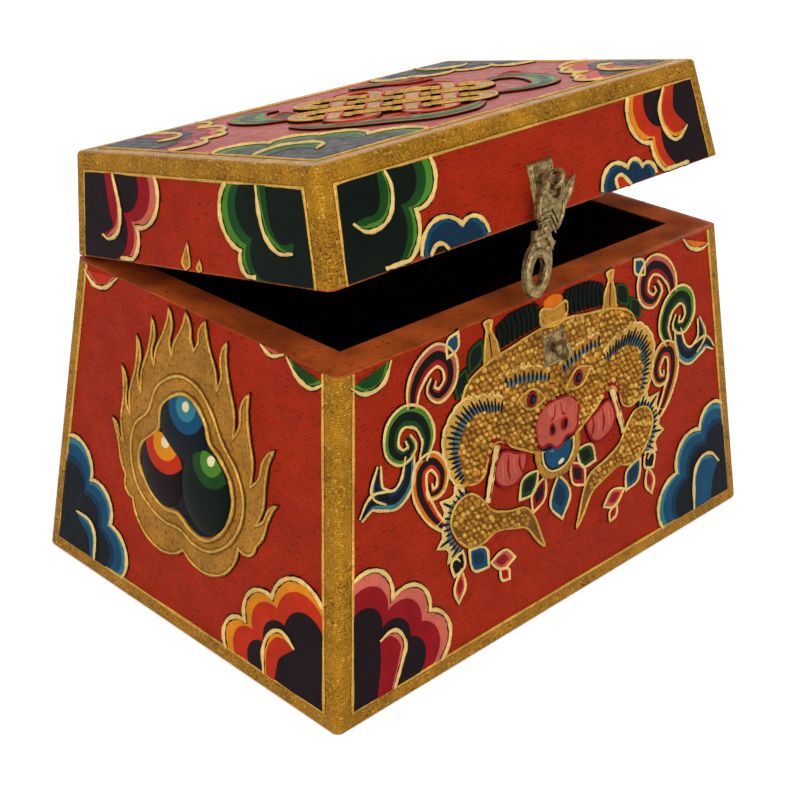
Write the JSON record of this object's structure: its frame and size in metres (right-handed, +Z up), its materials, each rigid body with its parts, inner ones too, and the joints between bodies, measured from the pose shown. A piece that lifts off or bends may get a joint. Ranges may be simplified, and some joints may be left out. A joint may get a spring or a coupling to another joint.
{
  "type": "painted hinged chest",
  "caption": "Small wooden chest with leaning painted walls, raised gilt ornament, a hinged lid standing ajar and a swinging cast hasp over a staple.",
  "frame": {"origin": "centre of the underside, on the surface that the chest stands on", "axes": "+X to the chest's right seen from its front, -Y to the front, +Z up"},
  "size_m": [0.1996, 0.1466, 0.1604],
  "materials": {
    "base_paint": "red painted, gold edged",
    "lid_paint": "red painted, gold edged",
    "floor_paint": "black painted",
    "gilt_paste": "gold painted chalk paste",
    "cast_brass": "aged cast",
    "hinge_brass": "satin",
    "iron": "raw"
  },
  "bodies": {
    "base": {"base_front_board": "base_paint", "base_back_board": "base_paint", "base_left_board": "base_paint", "base_right_board": "base_paint", "base_bottom_board": "floor_paint", "base_brads": "iron", "staple_plate": "cast_brass", "staple": "cast_brass", "front_mask_relief": "gilt_paste", "left_jewel_relief": "gilt_paste", "right_jewel_relief": "gilt_paste", "hinge_base_screws": "hinge_brass", "left_hinge_base_leaf": "hinge_brass", "left_hinge_pin": "hinge_brass", "right_hinge_base_leaf": "hinge_brass", "right_hinge_pin": "hinge_brass"},
    "lid": {"lid_top_board": "lid_paint", "lid_front_rail": "lid_paint", "lid_back_rail": "lid_paint", "lid_left_rail": "lid_paint", "lid_right_rail": "lid_paint", "lid_brads": "iron", "hasp_plate": "cast_brass", "lid_knot_relief": "gilt_paste", "hinge_lid_screws": "hinge_brass", "left_hinge_lid_leaf": "hinge_brass", "right_hinge_lid_leaf": "hinge_brass"},
    "hasp_eye": {"hasp_eye": "cast_brass"},
    "hasp": {"hasp": "cast_brass"}
  },
  "joints": [
    {"name": "lid_hinge", "type": "hinge", "parent": "base", "child": "lid", "pos_m": [0, 0.06284, 0.10649], "axis": [-1, 0, 0], "range_deg": [-11, 161]},
    {"name": "hasp_sway", "type": "hinge", "parent": "lid", "child": "hasp_eye", "pos_m": [0, -0.05497, 0.13982], "axis": [0, -0.9511, 0.309], "range_deg": [0, 66]},
    {"name": "hasp_swing", "type": "hinge", "parent": "hasp_eye", "child": "hasp", "pos_m": [0, -0.06011, 0.14148], "axis": [-0.8387, 0.1683, 0.518], "range_deg": [-5, 100]}
  ]
}
